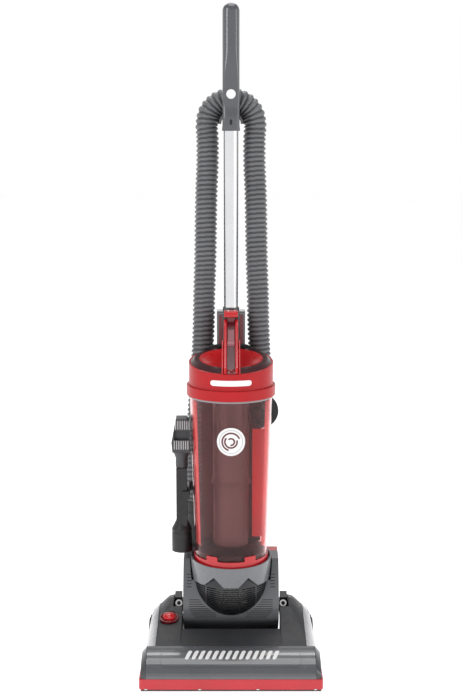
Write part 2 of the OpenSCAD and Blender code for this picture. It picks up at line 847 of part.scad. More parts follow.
// ---------- pedal and hook that move on the upright ----------

module power_pedal() {
    color("#c01c24") {
        box([61, 66.5, 138], [79.5, 106, 154]);
        box([61, 66.5, 137], [75, 106, 139]);
    }
}

module upper_cord_hook() {
    color("#2a2a2c") translate([0, 0, upper_hook_z]) difference() {
        union() {
            rod_y(spine_back_y + 0.3, hook_arm_y + 1, 9, 0, 0);
            hook_arm();
        }
        rod_y(spine_back_y, 122, axle_r + run_fit, 0, 0);
    }
}

// ---------- dust bin ----------

// Outside radius of the bin at a height
function bin_r(z) = bin_low_r + (bin_top_r - bin_low_r) * (z - bin_z[0]) / (bin_z[1] - bin_z[0]);

// Clear bin with the inlet spout at its right rear
module bin_shell() {
    color("#6b3a3c") difference() {
        union() {
            d_solid(bin_z[0], bin_z[1], bin_low_r, bin_top_r, bin_back);
            rod_y(bin_y + 15, bin_back + 1.5, 18.5, inlet_x, inlet_z);
        }
        d_solid(bin_z[0] - 1, bin_z[1] + 1, bin_r(bin_z[0] - 1) - wall, bin_r(bin_z[1] + 1) - wall,
            bin_back - wall);
        rod_y(bin_y, bin_back + 3, 15.5, inlet_x, inlet_z);
    }
}

// Bottom door ring with its two raised lugs
module bin_door() {
    rim_r = 61.4;
    lug_top = 181;
    color("#c8242c") {
        difference() {
            d_solid(door_z, bin_z[0] - 0.1, rim_r, rim_r, bin_back);
            d_solid(door_z + 3, bin_z[0] + 1, rim_r - 4, rim_r - 4, bin_back - 4);
        }
        for (s = [-1, 1]) intersection() {
            difference() {
                d_solid(bin_z[0] - 1, lug_top, rim_r, rim_r, bin_back);
                d_solid(bin_z[0] - 2, lug_top + 1, rim_r - 1.2, rim_r - 1.2, bin_back);
            }
            box([s * 31 - 9, -far, 0], [s * 31 + 9, 0, far]);
        }
    }
}

// Red guide panel inside the bin, below the inlet
module inlet_panel() {
    z = [198, 381];
    color("#d22a30") intersection() {
        box([35, 22, z[0]], [far, 25, z[1]]);
        d_solid(z[0], z[1], bin_r(z[0]) - wall - 0.1, bin_r(z[1]) - wall - 0.1, bin_back);
    }
}

// ---------- lid ----------

// Red band round the top of the bin
module lid_ring() {
    low = 441;
    step = 457;
    color("#c8242c") difference() {
        union() {
            d_solid(low, 520, rebate_r + 2.9, rebate_r + 2.9, lid_back);
            d_solid(low, step, 72.2, 72.2, lid_back);
        }
        d_solid(bin_z[1] + 0.4, 530, 64, 64, lid_back - 5);
        d_solid(low - 1, bin_z[1] + 0.4, 68.3, 68.3, bin_back + 0.8);
        above_lid_plane(0);
        intersection() {
            lid_frame() translate([0, 0, -6.1]) cylinder(h = 60, r = rebate_r + 0.2);
            box([-far, -far, 0], [far, lid_back - 1.8, far + lid_z]);
        }
        box([-13, 60, 470], [13, 90, 495]);
    }
}

// Smoky ring between the band and the dish
module lid_rim() {
    color("#4a2226") difference() {
        intersection() {
            lid_frame() {
                cylinder(h = dish_rise, r1 = rebate_r, r2 = dish_r + 8);
                translate([0, 0, -6]) cylinder(h = 6, r = rebate_r);
            }
            box([-far, -far, 0], [far, lid_back - 2, far + lid_z]);
        }
        lid_frame() translate([0, 0, -80]) cylinder(h = 160, r = dish_r + 0.2);
        box([-23, 66, 450], [23, 90, 530]);
    }
}

// Dished red centre of the lid
module lid_dish() {
    depth = 11;
    edge = dish_r - 1.8;
    cap_r = (edge * edge + depth * depth) / (2 * depth);
    color("#b81d25") lid_frame() difference() {
        translate([0, 0, dish_rise - 14]) cylinder(h = 14, r1 = dish_r - 2, r2 = dish_r);
        translate([0, 0, dish_rise + cap_r - depth]) sphere(r = cap_r, $fn = 96);
    }
}

// Diagonal handle that lifts the bin and lid away
module carry_handle() {
    color("#b81d25") difference() {
        along_x(-12, 12) polygon([[-47, 484], [-46, 492], [0, 522], [40, 548], [54, 556], [77, 556],
            [77, 508], [66, 505], [66, 536], [57, 540], [44, 533], [10, 510], [-27, 487], [-34, 484]]);
        lid_frame() translate([-far / 2, -far / 2, dish_rise - far]) cube(far);
        box([-6.5, 58.5, 542], [6.5, 73, 557]);
    }
}

// Filter cage and cyclone skirt that hang from the lid into the bin
module cyclone_shroud() {
    slots = 12;
    color("#3f2022") difference() {
        union() {
            d_solid(bin_z[1] + 0.5, bin_z[1] + 3, 63.8, 63.8, lid_back - 5.2);
            translate([0, bin_y, 300]) cylinder(h = bin_z[1] + 1 - 300, r = 30);
            translate([0, bin_y, 292]) cylinder(h = 8, r1 = 33.5, r2 = 30);
        }
        translate([0, bin_y, 302]) cylinder(h = 200, r = 27.5);
        for (i = [0 : slots - 1]) translate([0, bin_y, 0]) rotate(i * 360 / slots)
            box([20, -4, 320], [40, 4, 420]);
    }
}

module pre_motor_filter() {
    color("#d9d6cb") d_solid(bin_z[1] + 3.2, 464, 48, 48, 68);
}

// Thumb catch at the top of the carry handle
module bin_latch() {
    color("#d8272f") {
        box([-11.5, 57, 560], [11.5, 77, 570.5]);
        box([-6, 59, 546], [6, 72.5, 561]);
    }
}

// ---------- hand tools ----------

// Long flat crevice tool, socket end down
module crevice_tool() {
    socket_z = [171, 206];
    color("#2c2d30") translate([tool_x, tool_y, 0]) difference() {
        union() {
            translate([0, 0, socket_z[0]]) cylinder(h = 32, r = 17);
            translate([0, 0, socket_z[0] + 31]) cylinder(h = 5, r = 16.2);
            translate([0, 0, socket_z[1]]) cylinder(h = 3, r = 17);
            translate([0, 0, socket_z[1] + 3]) cylinder(h = 16, r1 = 17, r2 = 9);
            box([-9, -12, 216], [9, 12, 314]);
            translate([0, 0, 313]) cylinder(h = 16, r = 7.5);
        }
        translate([0, 0, socket_z[0] - 1]) cylinder(h = 33, r = 15.5);
        translate([0, 0, socket_z[0] + 31.9]) cylinder(h = 24, r1 = 14, r2 = 6.5);
        box([-6.5, -9.5, 222], [6.5, 9.5, 311]);
    }
}

// Dusting tool standing on the crevice tool's tip
module dusting_tool() {
    color("#55565a") translate([tool_x, tool_y, 0]) difference() {
        union() {
            translate([0, 0, 314.4]) cylinder(h = 16, r = 10.2);
            translate([0, 0, 330]) cylinder(h = 12, r1 = 10.2, r2 = 15);
            along_y(-14, 14) polygon([[-15, 341], [13, 341], [14, 356], [14, 386], [9, 398], [-9, 398],
                [-16.5, 358]]);
        }
        translate([0, 0, 310]) cylinder(h = 20, r = 8);
        translate([0, 0, 329.9]) cylinder(h = 30, r = 6);
        box([-12, -20, 362], [12, -6, 378]);
    }
}

base_chassis();
base_cover();
nozzle_visor();
nozzle_end_caps();
front_bumper();
sole_plate();
pivot_clamps();
pivot_screws();
wheel_axles();
drive_belt();
suction_duct();
base_screws();
knob_bezel();
brush_bearings();
height_knob();
roller_carriage();
front_rollers();
left_wheel();
left_tyre();
right_wheel();
right_tyre();
brush_roll();
brush_bristles();
recline_pedal();
yoke_shell();
yoke_rear_cover();
motor_cup();
exhaust_grille();
exhaust_filter();
motor_can();
spine_front();
spine_back();
socket_block();
hose_port();
hose();
hose_elbow();
tube();
handle_grip();
lower_cord_hook();
power_switch();
cord_gland();
tool_clip();
pedal_spring();
motor_armature();
motor_fan();
motor_pulley();
power_pedal();
upper_cord_hook();
bin_shell();
bin_door();
inlet_panel();
lid_ring();
lid_rim();
lid_dish();
carry_handle();
cyclone_shroud();
pre_motor_filter();
bin_latch();
crevice_tool();
dusting_tool();
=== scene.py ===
import math

import bpy
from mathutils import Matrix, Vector


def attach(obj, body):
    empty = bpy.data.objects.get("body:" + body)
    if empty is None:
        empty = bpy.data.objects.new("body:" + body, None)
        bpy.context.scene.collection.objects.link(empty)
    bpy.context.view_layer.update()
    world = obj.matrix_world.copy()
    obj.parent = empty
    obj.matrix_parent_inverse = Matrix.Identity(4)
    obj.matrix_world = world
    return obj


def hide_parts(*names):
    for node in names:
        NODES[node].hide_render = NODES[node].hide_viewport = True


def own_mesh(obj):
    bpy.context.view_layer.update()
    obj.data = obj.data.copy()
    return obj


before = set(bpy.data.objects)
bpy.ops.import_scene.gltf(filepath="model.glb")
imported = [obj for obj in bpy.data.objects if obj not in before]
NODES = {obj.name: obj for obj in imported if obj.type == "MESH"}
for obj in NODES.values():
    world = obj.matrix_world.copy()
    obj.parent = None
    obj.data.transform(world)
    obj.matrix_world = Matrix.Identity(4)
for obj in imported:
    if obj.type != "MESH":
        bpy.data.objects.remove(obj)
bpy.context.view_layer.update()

# Camera, lamps, floor and the widths of rounded edges are in metres.
# Outlines, profiles, routes and places on the object are in millimetres, and become metres as they are built.
CAMERA_PLACE = (0, -2.16, 0.883)
CAMERA_TILT = 80.5
CAMERA_LENS = 70.8
SENSOR_WIDTH = 36
FLOOR_RADIUS = 14
FLOOR_DROP = 0.0004
FLOOR_SIDES = 64
FLOOR_GLOW = 0.62
LAMPS = (
    ("key", (-1.6, -1.7, 2.0), (0, 0, 0.45), 0.8, 1.6, 20),
    ("side", (2.0, -1.0, 1.2), (0, 0, 0.5), 0.5, 1.8, 9),
    ("top", (0.1, 0.1, 2.9), (0, 0, 0.4), 1.4, 1.4, 16),
    ("rear", (-0.2, 1.7, 2.7), (0, 0, 0.3), 2.2, 0.9, 24),
)


# ---------- camera, light and floor ----------

def make_camera():
    data = bpy.data.cameras.new("camera")
    data.lens = CAMERA_LENS
    data.sensor_width = SENSOR_WIDTH
    cam = bpy.data.objects.new("camera", data)
    cam.location = CAMERA_PLACE
    cam.rotation_euler = (math.radians(CAMERA_TILT), 0, 0)
    bpy.context.scene.collection.objects.link(cam)
    bpy.context.scene.camera = cam


def area_light(name, place, aim, width, height, power):
    data = bpy.data.lights.new(name, "AREA")
    data.shape = "RECTANGLE"
    data.size = width
    data.size_y = height
    data.energy = power
    lamp = bpy.data.objects.new(name, data)
    lamp.location = place
    lamp.rotation_euler = (Vector(aim) - Vector(place)).to_track_quat("-Z", "Y").to_euler()
    bpy.context.scene.collection.objects.link(lamp)


def make_light():
    """White round the horizon, dimmer overhead, with four soft boxes."""
    world = bpy.data.worlds.new("studio")
    world.use_nodes = True
    tree = world.node_tree
    place = tree.nodes.new("ShaderNodeTexCoord")
    split = tree.nodes.new("ShaderNodeSeparateXYZ")
    fade = node(tree, "ShaderNodeMapRange", From_Min=0.12, From_Max=0.6, To_Min=1.0, To_Max=0.32)
    tree.links.new(place.outputs["Generated"], split.inputs["Vector"])
    tree.links.new(split.outputs["Z"], fade.inputs["Value"])
    tree.links.new(fade.outputs["Result"], tree.nodes["Background"].inputs["Strength"])
    tree.nodes["Background"].inputs["Color"].default_value = (1, 1, 1, 1)
    bpy.context.scene.world = world
    bpy.context.scene.view_settings.view_transform = "Standard"
    for lamp in LAMPS:
        area_light(*lamp)


def make_floor():
    """Wide pale disc just under the object, glowing a little so that it stays near white."""
    mesh = bpy.data.meshes.new("floor")
    ring = []
    for i in range(FLOOR_SIDES):
        a = 2 * math.pi * i / FLOOR_SIDES
        ring.append((FLOOR_RADIUS * math.cos(a), FLOOR_RADIUS * math.sin(a), -FLOOR_DROP))
    mesh.from_pydata(ring, [], [tuple(range(FLOOR_SIDES))])
    floor = bpy.data.objects.new("floor", mesh)
    bpy.context.scene.collection.objects.link(floor)
    paint = moulded("floor_paint", (0.86, 0.86, 0.86), rough=0.7, grain=0.02, grain_size=0.004, vary=0.01)
    skin = paint.node_tree.nodes["Principled BSDF"]
    skin.inputs["Emission Color"].default_value = (1, 1, 1, 1)
    skin.inputs["Emission Strength"].default_value = FLOOR_GLOW
    skin.inputs["Specular IOR Level"].default_value = 0.1
    mesh.materials.append(paint)


# ---------- materials ----------

CLOUD_SCALE = 14
SMUDGE_SCALE = 55


def new_material(name):
    m = bpy.data.materials.new(name)
    m.use_nodes = True
    tree = m.node_tree
    return m, tree, tree.nodes["Principled BSDF"]


def node(tree, kind, **inputs):
    made = tree.nodes.new(kind)
    for key, value in inputs.items():
        made.inputs[key.replace("_", " ")].default_value = value
    return made


def coordinates(tree, stretch=(1, 1, 1)):
    place = tree.nodes.new("ShaderNodeTexCoord")
    mapping = tree.nodes.new("ShaderNodeMapping")
    mapping.inputs["Scale"].default_value = stretch
    tree.links.new(place.outputs["Object"], mapping.inputs["Vector"])
    return mapping.outputs["Vector"]


def noise(tree, vector, scale, detail=3.0):
    made = node(tree, "ShaderNodeTexNoise", Scale=scale, Detail=detail)
    tree.links.new(vector, made.inputs["Vector"])
    return made.outputs["Fac"]


def spread(tree, value, low, high):
    made = node(tree, "ShaderNodeMapRange", From_Min=0.3, From_Max=0.7, To_Min=low, To_Max=high)
    tree.links.new(value, made.inputs["Value"])
    return made.outputs["Result"]


def two_tone(tree, value, dark, light):
    ramp = tree.nodes.new("ShaderNodeValToRGB")
    ramp.color_ramp.elements[0].position = 0.3
    ramp.color_ramp.elements[1].position = 0.7
    ramp.color_ramp.elements[0].color = (*dark, 1)
    ramp.color_ramp.elements[1].color = (*light, 1)
    tree.links.new(value, ramp.inputs["Fac"])
    return ramp.outputs["Color"]


def bumped(tree, height, strength, distance):
    bump = node(tree, "ShaderNodeBump", Strength=strength, Distance=distance)
    tree.links.new(height, bump.inputs["Height"])
    return bump.outputs["Normal"]


def shade(colour, k):
    return tuple(min(1.0, c * k) for c in colour)


def moulded(name, colour, rough=0.35, grain=0.15, grain_size=0.0012, coat=0.0, vary=0.07, shine=0.5):
    """Injection-moulded plastic: cloudy colour, smudged gloss and a fine grain."""
    m, tree, skin = new_material(name)
    at = coordinates(tree)
    cloud = noise(tree, at, CLOUD_SCALE)
    tint = two_tone(tree, cloud, shade(colour, 1 - vary), shade(colour, 1 + vary))
    tree.links.new(tint, skin.inputs["Base Color"])
    smudge = noise(tree, at, SMUDGE_SCALE)
    tree.links.new(spread(tree, smudge, rough * 0.88, rough * 1.15), skin.inputs["Roughness"])
    fine = noise(tree, at, 1 / grain_size, 2.0)
    tree.links.new(bumped(tree, fine, grain, 0.0002), skin.inputs["Normal"])
    skin.inputs["Specular IOR Level"].default_value = shine
    skin.inputs["Coat Weight"].default_value = coat
    skin.inputs["Coat Roughness"].default_value = 0.08
    return m


def clear_plastic(name, colour, body):
    """Smoky see-through plastic: it tints what is behind it, and body is the share that doesn't pass."""
    m = moulded(name, colour, rough=0.05, grain=0.02, grain_size=0.03, vary=0.03, shine=0.3)
    skin = m.node_tree.nodes["Principled BSDF"]
    skin.inputs["Transmission Weight"].default_value = 1 - body
    skin.inputs["IOR"].default_value = 1.25
    return m


def metal(name, colour, rough=0.15, stretch=(1, 1, 1), lines=0.08):
    """Bare or plated metal with fine drawing lines along the stretched axis."""
    m, tree, skin = new_material(name)
    skin.inputs["Metallic"].default_value = 1.0
    lines_at = coordinates(tree, stretch)
    fine = noise(tree, lines_at, 300, 4.0)
    cloud = noise(tree, coordinates(tree), 20)
    tree.links.new(two_tone(tree, cloud, shade(colour, 0.94), colour), skin.inputs["Base Color"])
    tree.links.new(spread(tree, fine, rough * 0.7, rough * 1.4), skin.inputs["Roughness"])
    tree.links.new(bumped(tree, fine, lines, 0.0001), skin.inputs["Normal"])
    return m


def rubber(name, colour):
    return moulded(name, colour, rough=0.62, grain=0.35, grain_size=0.0008)


def pleated(name, colour):
    """Filter paper in narrow pleats."""
    m, tree, skin = new_material(name)
    at = coordinates(tree)
    wave = node(tree, "ShaderNodeTexWave", Scale=90.0, Distortion=0.4)
    tree.links.new(at, wave.inputs["Vector"])
    tint = two_tone(tree, wave.outputs["Fac"], shade(colour, 0.75), colour)
    tree.links.new(tint, skin.inputs["Base Color"])
    tree.links.new(bumped(tree, wave.outputs["Fac"], 0.6, 0.002), skin.inputs["Normal"])
    skin.inputs["Roughness"].default_value = 0.9
    return m


def ribbed(name, colour):
    """Stretch-hose skin, a little dusty."""
    return moulded(name, colour, rough=0.38, grain=0.2, grain_size=0.0009, vary=0.1)


def all_materials():
    drawn_z = (1, 1, 0.03)
    return {
        "deck": moulded("deck_plastic", (0.036, 0.037, 0.040), rough=0.5, grain=0.12),
        "visor": moulded("visor_plastic", (0.098, 0.101, 0.109), rough=0.24, grain=0.05, coat=0.9),
        "cap": moulded("cap_plastic", (0.060, 0.062, 0.067), rough=0.3, grain=0.1, coat=0.3),
        "yoke": moulded("yoke_plastic", (0.135, 0.138, 0.147), rough=0.36, grain=0.1, coat=0.15),
        "cup": moulded("cup_plastic", (0.175, 0.18, 0.193), rough=0.28, grain=0.06, coat=0.35),
        "grille": moulded("grille_plastic", (0.022, 0.023, 0.026), rough=0.35, grain=0.1),
        "handle": moulded("handle_plastic", (0.080, 0.082, 0.090), rough=0.2, grain=0.04, coat=0.6),
        "black": moulded("black_plastic", (0.012, 0.012, 0.013), rough=0.38, grain=0.25),
        "dark": moulded("dark_plastic", (0.028, 0.028, 0.031), rough=0.45, grain=0.3),
        "tool_black": moulded("tool_plastic", (0.014, 0.013, 0.015), rough=0.45, grain=0.25),
        "tool_grey": moulded("tool_grey_plastic", (0.055, 0.055, 0.060), rough=0.42, grain=0.25),
        "red": moulded("red_gloss", (0.56, 0.008, 0.014), rough=0.24, grain=0.04, coat=0.35),
        "red_band": moulded("red_band", (0.45, 0.008, 0.012), rough=0.32, grain=0.04, coat=0.1, shine=0.25),
        "red_dish": moulded("red_dish", (0.60, 0.010, 0.014), rough=0.3, grain=0.04, coat=0.3),
        "red_dark": moulded("red_dark", (0.16, 0.006, 0.010), rough=0.22, grain=0.04, coat=0.5),
        "red_satin": moulded("bumper_red", (0.56, 0.035, 0.045), rough=0.45, grain=0.15),
        "panel_red": moulded("panel_red", (0.95, 0.05, 0.055), rough=0.4, grain=0.05),
        "smoke": clear_plastic("bin_smoke", (0.985, 0.62, 0.62), body=0.01),
        "smoke_rim": moulded("rim_smoke", (0.045, 0.007, 0.010), rough=0.3, grain=0.03, coat=0.2),
        "shroud": moulded("shroud_smoke", (0.13, 0.13, 0.13), rough=0.4, grain=0.05),
        "channel": moulded("channel_smoke", (0.085, 0.008, 0.014), rough=0.3, grain=0.03, coat=0.15),
        "white": moulded("white_print", (0.86, 0.86, 0.86), rough=0.35, grain=0.03, vary=0.02),
        "grey_line": moulded("grey_print", (0.30, 0.30, 0.31), rough=0.4, grain=0.03),
        "maroon_line": moulded("maroon_print", (0.12, 0.02, 0.025), rough=0.4, grain=0.03),
        # Painted shade: near-black maroon for the screens that darken the bin's sides.
        "maroon_painted_shade": moulded("maroon_painted_shade", (0.08, 0.012, 0.012), rough=0.4, grain=0.05),
        "maroon_step": moulded("maroon_step", (0.34, 0.12, 0.14), rough=0.3, grain=0.03),
        "slot": moulded("slot_shadow", (0.006, 0.006, 0.007), rough=0.5, grain=0.1),
        "ribs": moulded("rib_grey", (0.50, 0.50, 0.51), rough=0.4, grain=0.15),
        "hose": ribbed("hose_skin", (0.145, 0.147, 0.155)),
        # Darker copy of the hose skin: painted shade for the hose's grooves.
        "painted_groove_shade": ribbed("hose_painted_groove_shade", (0.060, 0.061, 0.066)),
        "silver": moulded("silver_trim", (0.43, 0.435, 0.45), rough=0.28, grain=0.06, coat=0.3),
        "panel_mid": moulded("panel_maroon", (0.22, 0.035, 0.05), rough=0.25, grain=0.03, coat=0.4),
        "tube": metal("tube_chrome", (0.80, 0.805, 0.82), rough=0.14, stretch=drawn_z),
        "steel": metal("steel", (0.66, 0.66, 0.67), rough=0.2),
        "pressed": metal("pressed_steel", (0.45, 0.45, 0.46), rough=0.38),
        "copper": metal("windings", (0.45, 0.20, 0.09), rough=0.4, stretch=(6, 1, 1), lines=0.5),
        "nylon": moulded("nylon", (0.62, 0.62, 0.58), rough=0.5),
        "rubber": rubber("soft_rubber", (0.016, 0.016, 0.016)),
        "filter": pleated("filter_paper", (0.72, 0.70, 0.64)),
        "tuft": moulded("tuft_nylon", (0.02, 0.02, 0.022), rough=0.6, grain=0.5, grain_size=0.0006),
    }


MATERIAL_OF = {
    "deck": ["base_cover"],
    "visor": ["nozzle_visor"],
    "cap": ["nozzle_end_caps"],
    "yoke": ["yoke_shell", "yoke_rear_cover"],
    "cup": ["motor_cup"],
    "grille": ["exhaust_grille"],
    "handle": ["socket_block", "spine_back", "recline_pedal"],
    "black": ["base_chassis", "sole_plate", "pivot_clamps", "spine_front", "hose_port", "hose_elbow",
              "cord_gland", "tool_clip"],
    "dark": ["suction_duct", "roller_carriage", "front_rollers", "left_wheel", "right_wheel",
             "lower_cord_hook", "upper_cord_hook", "power_switch"],
    "tool_black": ["crevice_tool"],
    "tool_grey": ["dusting_tool"],
    "red_band": ["lid_ring"],
    "red": ["bin_door", "height_knob", "power_pedal", "brush_roll"],
    "red_dish": ["lid_dish"],
    "red_dark": ["knob_bezel"],
    "red_satin": ["front_bumper"],
    "panel_red": ["inlet_panel"],
    "smoke": ["bin_shell"],
    "smoke_rim": ["lid_rim"],
    "shroud": ["cyclone_shroud"],
    "tube": ["tube"],
    "steel": ["pivot_screws", "wheel_axles", "base_screws", "brush_bearings", "motor_pulley"],
    "pressed": ["motor_can"],
    "copper": ["motor_armature"],
    "nylon": ["motor_fan"],
    "rubber": ["left_tyre", "right_tyre", "drive_belt"],
    "filter": ["exhaust_filter", "pre_motor_filter"],
    "tuft": ["brush_bristles"],
}


def dress(obj, material):
    if not obj.material_slots:
        obj.data.materials.append(material)
    for held in obj.material_slots:
        held.material = material


# ---------- mesh helpers ----------

def mesh_piece(name, verts, faces, material, body, smooth=True):
    mesh = bpy.data.meshes.new(name)
    mesh.from_pydata([tuple(v) for v in verts], [], faces)
    mesh.validate()
    made = bpy.data.objects.new(name, mesh)
    bpy.context.scene.collection.objects.link(made)
    mesh.materials.append(MATERIALS[material])
    for face in mesh.polygons:
        face.use_smooth = smooth
    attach(made, body)
    return made


def soften(name, width):
    """Rounds a CAD node's sharp edges with modifiers, which leave its mesh as it is."""
    obj = NODES[name]
    weld = obj.modifiers.new("weld", "WELD")
    weld.merge_threshold = 0.00001
    flat = obj.modifiers.new("flat", "DECIMATE")
    flat.decimate_type = "DISSOLVE"
    flat.angle_limit = math.radians(0.4)
    bevel = obj.modifiers.new("bevel", "BEVEL")
    bevel.width = width
    bevel.segments = 3
    bevel.limit_method = "ANGLE"
    bevel.angle_limit = math.radians(35)
    for face in obj.data.polygons:
        face.use_smooth = True
    obj.modifiers.new("even", "WEIGHTED_NORMAL").keep_sharp = True


# ---------- hose ----------

# Skin where the cosine of the rib's phase is under PAINTED_SHADE_BELOW lies between the turns of the rib and
# gets a darker colour there: painted shade in the hose's grooves.
RIB_PITCH = 7.8
RINGS_PER_RIB = 8
HOSE_SIDES = 48
HOSE_RADIUS = 18.8
RIB_DEPTH = 2.6
PAINTED_SHADE_BELOW = -0.35

HOSE_ROUTE = [
    (-58, 106, 215), (-58, 106, 260), (-58, 106, 305), (-57, 106, 350), (-55, 106, 400), (-51, 106, 450),
    (-48, 106, 495), (-46, 106, 540), (-45, 108, 590), (-43, 111, 650), (-42, 115, 710), (-41, 119, 760),
    (-39, 123, 810), (-39, 125, 850), (-40, 125, 874), (-35, 125, 894), (-20, 125, 909), (0, 125, 914),
    (20, 125, 909), (35, 125, 894), (40, 125, 874), (39, 125, 850), (39, 123, 810), (41, 119, 760),
    (42, 115, 710), (43, 111, 650), (45, 108, 590), (46, 106, 540), (48, 106, 495), (50, 106, 465),
    (50, 106, 440),
]


def smooth_route(points, step):
    """Catmull-Rom curve through the points, resampled at an even step."""
    p = [points[0] * 2 - points[1]] + points + [points[-1] * 2 - points[-2]]
    fine = []
    for i in range(1, len(p) - 2):
        for k in range(24):
            t = k / 24
            fine.append(0.5 * (2 * p[i] + (p[i + 1] - p[i - 1]) * t
                               + (2 * p[i - 1] - 5 * p[i] + 4 * p[i + 1] - p[i + 2]) * t * t
                               + (3 * p[i] - p[i - 1] - 3 * p[i + 1] + p[i + 2]) * t ** 3))
    fine.append(p[-2])
    out, left = [fine[0]], step
    for a, b in zip(fine, fine[1:]):
        span = (b - a).length
        while left <= span:
            a = a + (b - a) * (left / span)
            out.append(a)
            span = (b - a).length
            left = step
        left -= span
    return out


def rib_phase(i, k):
    """Angle along the spiral rib, at ring i and side k of the hose."""
    return 2 * math.pi * (i / RINGS_PER_RIB - k / HOSE_SIDES)


def hose_ring(path, i):
    """One ring of the hose's skin, square to the route and sunk between the turns of its rib."""
    ahead = (path[min(i + 1, len(path) - 1)] - path[max(i - 1, 0)]).normalized()
    across = ahead.cross(Vector((0, 1, 0))).normalized()
    up = ahead.cross(across)
    ring = []
    for k in range(HOSE_SIDES):
        turn = 2 * math.pi * k / HOSE_SIDES
        dip = (0.5 - 0.5 * math.cos(rib_phase(i, k))) ** 1.6
        r = HOSE_RADIUS / 1000 - RIB_DEPTH / 1000 * dip
        ring.append(path[i] + r * (math.cos(turn) * across + math.sin(turn) * up))
    return ring


def make_hose():
    """One ribbed stretch hose from the low port, over the saddle and down to the bin's elbow."""
    path = smooth_route([Vector(p) / 1000 for p in HOSE_ROUTE], RIB_PITCH / 1000 / RINGS_PER_RIB)
    verts, faces = closed_strip([hose_ring(path, i) for i in range(len(path))])
    hose = mesh_piece("stretch_hose", verts, faces, "hose", "upright")
    # Faces between the rib's turns get the darker copy of the skin, as painted shade.
    hose.data.materials.append(MATERIALS["painted_groove_shade"])
    for i in range(len(path) - 1):
        for k in range(HOSE_SIDES):
            if math.cos(rib_phase(i + 0.5, k + 0.5)) < PAINTED_SHADE_BELOW:
                hose.data.polygons[i * HOSE_SIDES + k].material_index = 1
    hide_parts("hose")
    centres = path[:-1:4] + [path[-1]]
    length = sum((b - a).length for a, b in zip(centres, centres[1:]))
    tuple(path[0])
    [tuple(c) for c in centres]


# ---------- shape makers ----------

def closed_strip(rings, cap=True):
    """Verts and faces of a skin over equal closed rings, with its ends filled if cap is true."""
    n = len(rings[0])
    verts = [v for ring in rings for v in ring]
    faces = []
    for i in range(len(rings) - 1):
        for k in range(n):
            j = (k + 1) % n
            faces.append((i * n + k, (i + 1) * n + k, (i + 1) * n + j, i * n + j))
    if cap:
        faces.append(tuple(range(n)))
        faces.append(tuple(reversed(range((len(rings) - 1) * n, len(rings) * n))))
    return verts, faces


def rounded(obj, width, segments=3):
    """Rounds the sharp edges of a new piece."""
    bevel = obj.modifiers.new("bevel", "BEVEL")
    bevel.width = width
    bevel.segments = segments
    bevel.limit_method = "ANGLE"
    bevel.angle_limit = math.radians(32)
    obj.modifiers.new("even", "WEIGHTED_NORMAL").keep_sharp = True
    return obj


def side_plate(name, outline, x0, x1, material, body, edge=0.001):
    """Plate with a (y, z) outline in millimetres between two x planes."""
    rings = [[(x / 1000, y / 1000, z / 1000) for y, z in outline] for x in (x0, x1)]
    verts, faces = closed_strip(rings)
    return rounded(mesh_piece(name, verts, faces, material, body), edge)


def turned(name, profile, place, material, body, sides=64, sweep=360):
    """Closed (radius, height) profile turned about an axis; place maps (x, y, height) into the scene."""
    steps = sides if sweep == 360 else sides // 2
    rings = []
    for i in range(steps + (sweep != 360)):
        a = math.radians(sweep * i / steps)
        rings.append([place(r * math.cos(a), r * math.sin(a), h) for r, h in profile])
    verts, faces = closed_strip(rings, cap=sweep != 360)
    if sweep == 360:
        n, last = len(profile), (len(rings) - 1) * len(profile)
        faces += [(last + k, k, (k + 1) % n, last + (k + 1) % n) for k in range(n)]
    return rounded(mesh_piece(name, verts, faces, material, body), 0.0006, 2)


def bar(name, length, height, place, material, body, lift=0.35, columns=20):
    """Round-ended bar laid on a surface; place maps (along, across, out) in millimetres onto it."""
    half, end = length / 2, height / 2
    across = []
    for i in range(columns + 1):
        u = -half + length * 0.5 * (1 - math.cos(math.pi * i / columns))
        over = max(0.0, abs(u) - (half - end))
        across.append((u, math.sqrt(max(0.0, end * end - over * over)) + 0.02))
    rings = []
    for u, v in across:
        rings.append([place(u, -v, -0.1), place(u, -v, lift), place(u, v, lift), place(u, v, -0.1)])
    verts, faces = closed_strip(rings)
    return mesh_piece(name, verts, faces, material, body, smooth=False)


def arc_band(name, r0, r1, a0, a1, place, material, body, lift=0.4, steps=48):
    """Arc between two radii laid on a surface, in millimetres and degrees, bending with it."""
    cuts = 1 + int((r1 - r0) / 2.5)
    radii = [r0 + (r1 - r0) * k / cuts for k in range(cuts + 1)]
    rings = []
    for i in range(steps + 1):
        a = math.radians(a0 + (a1 - a0) * i / steps)
        c, s = math.cos(a), math.sin(a)
        upper = [place(r * c, r * s, lift) for r in radii]
        rings.append([place(r0 * c, r0 * s, -0.1)] + upper + [place(r1 * c, r1 * s, -0.1)])
    verts, faces = closed_strip(rings)
    return mesh_piece(name, verts, faces, material, body, smooth=False)


SIDES = ((-1, "l"), (1, "r"))


def metres(x, y, z):
    return (x / 1000, y / 1000, z / 1000)


# ---------- surfaces that details lie on ----------

BIN_AXIS_Y = 20
BAND_RADIUS = 68.4
BIN_FOOT_RADIUS = 59.6
BIN_FOOT_Z = 173
BIN_FLARE = 7.7
BIN_HEIGHT = 272
HOOD_AXIS_Y = -95
HOOD_AXIS_Z = 20
HOOD_REACH = 54
HOOD_RISE = 33
HOOD_ARC_RADIUS = 46


def on_band(z0):
    """Upper band of the lid, with z0 as the height where v is zero."""
    def place(u, v, w):
        a = u / BAND_RADIUS
        out = BAND_RADIUS + w
        return metres(out * math.sin(a), BIN_AXIS_Y - out * math.cos(a), z0 + v)
    return place


def on_bin(z0):
    """Tapered wall of the bin."""
    def place(u, v, w):
        r = BIN_FOOT_RADIUS + BIN_FLARE * (z0 + v - BIN_FOOT_Z) / BIN_HEIGHT + w
        return metres(r * math.sin(u / r), BIN_AXIS_Y - r * math.cos(u / r), z0 + v)
    return place


